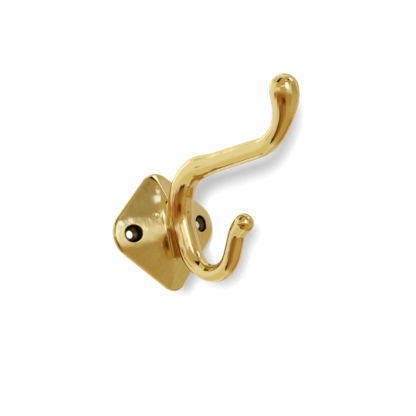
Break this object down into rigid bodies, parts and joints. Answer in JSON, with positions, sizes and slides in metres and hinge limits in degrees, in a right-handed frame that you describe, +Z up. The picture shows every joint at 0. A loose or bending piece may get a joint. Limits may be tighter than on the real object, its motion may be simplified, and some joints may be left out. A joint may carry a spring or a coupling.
{
  "type": "hat and coat hook",
  "caption": "Polished brass wall hook cast in one piece: a lozenge back plate with countersunk screw holes, a long hat arm ending in a ball, and a small coat crook below.",
  "frame": {"origin": "on the flat back of the plate, midway between the two screw holes", "axes": "+Z up, +Y into the wall, so that the hook stands out along -Y, and X along the wall through both screw holes"},
  "size_m": [0.045, 0.0859, 0.061],
  "materials": {
    "brass": "mirror polished"
  },
  "bodies": {
    "root": {"hook": "brass"}
  },
  "joints": []
}
